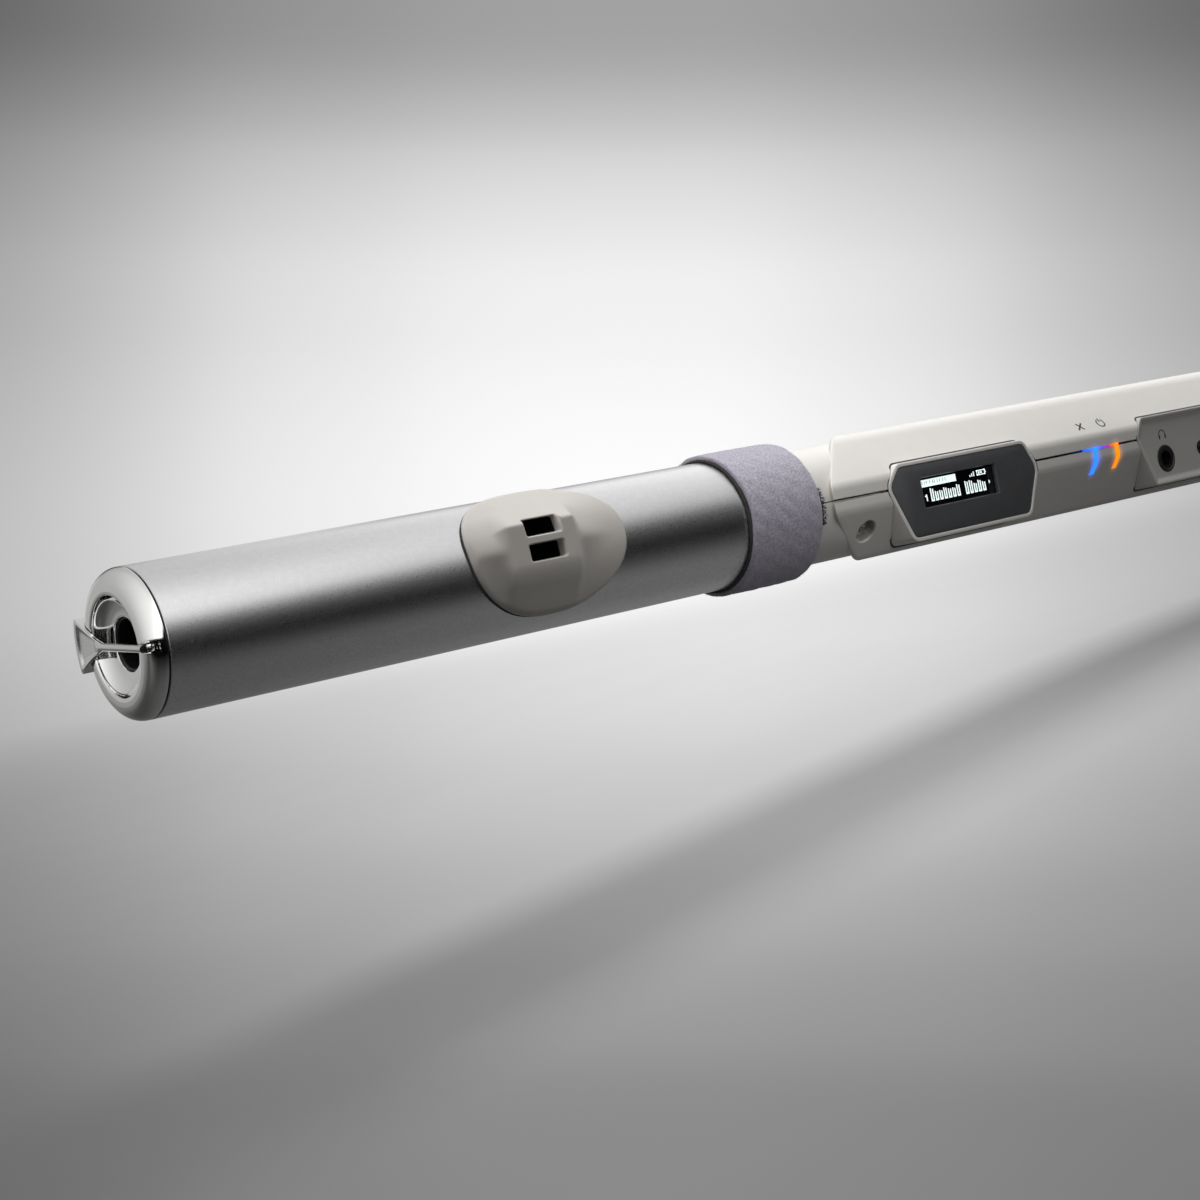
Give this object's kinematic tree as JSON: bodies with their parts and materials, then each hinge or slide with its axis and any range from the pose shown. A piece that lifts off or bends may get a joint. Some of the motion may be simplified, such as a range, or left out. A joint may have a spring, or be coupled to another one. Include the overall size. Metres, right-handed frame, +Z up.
{
  "type": "digital wind instrument",
  "caption": "Flute-shaped digital wind instrument: a metal head with a slotted lip plate, a turning joint under a suede band, and a facetted casing with a display, sockets and sprung keys.",
  "frame": {"origin": "on the tube's axis at the crown's seam, in the bore of the crown's hole", "axes": "+X from the crown along the tube to the foot, -Y towards the player, +Z up through the key cups"},
  "size_m": [0.6486, 0.0319, 0.0335],
  "materials": {
    "chrome": "polished",
    "tube_aluminium": "satin, finely brushed round the tube",
    "lip_plastic": "fine matte",
    "black_plastic": "moulded",
    "shell_plastic": "fine satin",
    "bezel_plastic": "fine matte",
    "display_black": "glossy",
    "suede": "brushed nap",
    "lining": "knitted",
    "rubber": "matte",
    "board_green": "solder mask",
    "steel": "drawn",
    "key_silver": "silver plated",
    "blue_light": "lit acrylic",
    "orange_light": "lit acrylic",
    "cell_wrap": "shrink wrap"
  },
  "bodies": {
    "body": {"tenon_ring": "rubber", "upper_shell": "shell_plastic", "lower_shell": "shell_plastic", "shell_screws": "steel", "display_frame": "shell_plastic", "display_bezel": "bezel_plastic", "display_glass": "display_black", "display_board": "board_green", "light_guide_link": "blue_light", "light_guide_power": "orange_light", "light_board": "board_green", "socket_panel": "shell_plastic", "phones_jack": "black_plastic", "usb_socket": "steel", "main_board": "board_green", "battery_cells": "cell_wrap", "battery_cradle": "black_plastic", "button_board": "board_green", "key_board": "board_green", "key_domes": "rubber", "key_posts": "key_silver", "left_rod": "steel", "right_rod": "steel", "foot_rod": "steel", "thumb_rod": "steel", "key_springs": "steel", "foot_cap": "shell_plastic"},
    "head": {"crown_cap": "chrome", "crown_core": "black_plastic", "bail_pin": "chrome", "head_tube": "tube_aluminium", "lip_plate": "lip_plastic", "lip_seal": "rubber", "breath_duct": "black_plastic", "breath_sensor_board": "board_green", "band_cover": "suede", "band_lining": "lining", "band_hook_patch": "lining"},
    "bail": {"bail": "chrome"},
    "power_button": {"power_button": "bezel_plastic"},
    "minus_button": {"minus_button": "bezel_plastic"},
    "plus_button": {"plus_button": "bezel_plastic"},
    "menu_button": {"menu_button": "bezel_plastic"},
    "c_key": {"c_key": "key_silver"},
    "a_key": {"a_key": "key_silver"},
    "g_key": {"g_key": "key_silver"},
    "g_sharp_key": {"g_sharp_key": "key_silver"},
    "trill_d_key": {"trill_d_key": "key_silver"},
    "trill_d_sharp_key": {"trill_d_sharp_key": "key_silver"},
    "f_key": {"f_key": "key_silver"},
    "e_key": {"e_key": "key_silver"},
    "d_key": {"d_key": "key_silver"},
    "e_flat_key": {"e_flat_key": "key_silver"},
    "low_c_sharp_key": {"low_c_sharp_key": "key_silver"},
    "low_c_key": {"low_c_key": "key_silver"},
    "thumb_b_key": {"thumb_b_key": "key_silver"},
    "thumb_b_flat_key": {"thumb_b_flat_key": "key_silver"}
  },
  "joints": [
    {"name": "head_turn", "type": "hinge", "parent": "body", "child": "head", "pos_m": [0.124, 0, 0], "axis": [1, 0, 0], "range_deg": [-30, 30]},
    {"name": "bail_fold", "type": "hinge", "parent": "head", "child": "bail", "pos_m": [-0.00225, -0.01064, -0.00112], "axis": [0, -0.1045, 0.9945], "range_deg": [0, 100]},
    {"name": "power_press", "type": "slide", "parent": "body", "child": "power_button", "axis": [0, 1, 0], "range_m": [0, 0.0008], "stiffness_N_per_m": 1200, "springref_m": -0.0005},
    {"name": "minus_press", "type": "slide", "parent": "body", "child": "minus_button", "axis": [0, 1, 0], "range_m": [0, 0.0008], "stiffness_N_per_m": 1200, "springref_m": -0.0005},
    {"name": "plus_press", "type": "slide", "parent": "body", "child": "plus_button", "axis": [0, 1, 0], "range_m": [0, 0.0008], "stiffness_N_per_m": 1200, "springref_m": -0.0005},
    {"name": "menu_press", "type": "slide", "parent": "body", "child": "menu_button", "axis": [0, 1, 0], "range_m": [0, 0.0008], "stiffness_N_per_m": 1200, "springref_m": -0.0005},
    {"name": "c_press", "type": "hinge", "parent": "body", "child": "c_key", "pos_m": [0.303, -0.01322, 0.01133], "axis": [-1, 0, 0], "range_deg": [0, 9], "stiffness_Nm_per_rad": 0.03, "springref_deg": -5.73},
    {"name": "a_press", "type": "hinge", "parent": "body", "child": "a_key", "pos_m": [0.3305, -0.01322, 0.01133], "axis": [-1, 0, 0], "range_deg": [0, 9], "stiffness_Nm_per_rad": 0.03, "springref_deg": -5.73},
    {"name": "g_press", "type": "hinge", "parent": "body", "child": "g_key", "pos_m": [0.357, -0.01322, 0.01133], "axis": [-1, 0, 0], "range_deg": [0, 9], "stiffness_Nm_per_rad": 0.03, "springref_deg": -5.73},
    {"name": "g_sharp_press", "type": "hinge", "parent": "body", "child": "g_sharp_key", "pos_m": [0.381, -0.01322, 0.01133], "axis": [-1, 0, 0], "range_deg": [0, 9], "stiffness_Nm_per_rad": 0.03, "springref_deg": -5.73},
    {"name": "trill_d_press", "type": "hinge", "parent": "body", "child": "trill_d_key", "pos_m": [0.408, -0.01322, 0.01133], "axis": [-1, 0, 0], "range_deg": [0, 9], "stiffness_Nm_per_rad": 0.03, "springref_deg": -5.73},
    {"name": "trill_d_sharp_press", "type": "hinge", "parent": "body", "child": "trill_d_sharp_key", "pos_m": [0.418, -0.01322, 0.01133], "axis": [-1, 0, 0], "range_deg": [0, 9], "stiffness_Nm_per_rad": 0.03, "springref_deg": -5.73},
    {"name": "f_press", "type": "hinge", "parent": "body", "child": "f_key", "pos_m": [0.44, -0.01322, 0.01133], "axis": [-1, 0, 0], "range_deg": [0, 9], "stiffness_Nm_per_rad": 0.03, "springref_deg": -5.73},
    {"name": "e_press", "type": "hinge", "parent": "body", "child": "e_key", "pos_m": [0.467, -0.01322, 0.01133], "axis": [-1, 0, 0], "range_deg": [0, 9], "stiffness_Nm_per_rad": 0.03, "springref_deg": -5.73},
    {"name": "d_press", "type": "hinge", "parent": "body", "child": "d_key", "pos_m": [0.494, -0.01322, 0.01133], "axis": [-1, 0, 0], "range_deg": [0, 9], "stiffness_Nm_per_rad": 0.03, "springref_deg": -5.73},
    {"name": "e_flat_press", "type": "hinge", "parent": "body", "child": "e_flat_key", "pos_m": [0.5255, -0.01322, 0.01133], "axis": [-1, 0, 0], "range_deg": [0, 9], "stiffness_Nm_per_rad": 0.03, "springref_deg": -5.73},
    {"name": "low_c_sharp_press", "type": "hinge", "parent": "body", "child": "low_c_sharp_key", "pos_m": [0.546, -0.01322, 0.01133], "axis": [-1, 0, 0], "range_deg": [0, 9], "stiffness_Nm_per_rad": 0.03, "springref_deg": -5.73},
    {"name": "low_c_press", "type": "hinge", "parent": "body", "child": "low_c_key", "pos_m": [0.564, -0.01322, 0.01133], "axis": [-1, 0, 0], "range_deg": [0, 9], "stiffness_Nm_per_rad": 0.03, "springref_deg": -5.73},
    {"name": "thumb_b_press", "type": "hinge", "parent": "body", "child": "thumb_b_key", "pos_m": [0.337, -0.01563, -0.00213], "axis": [1, 0, 0], "range_deg": [0, 9], "stiffness_Nm_per_rad": 0.02, "springref_deg": -5.73},
    {"name": "thumb_b_flat_press", "type": "hinge", "parent": "body", "child": "thumb_b_flat_key", "pos_m": [0.354, -0.01563, -0.00213], "axis": [1, 0, 0], "range_deg": [0, 9], "stiffness_Nm_per_rad": 0.02, "springref_deg": -5.73}
  ]
}
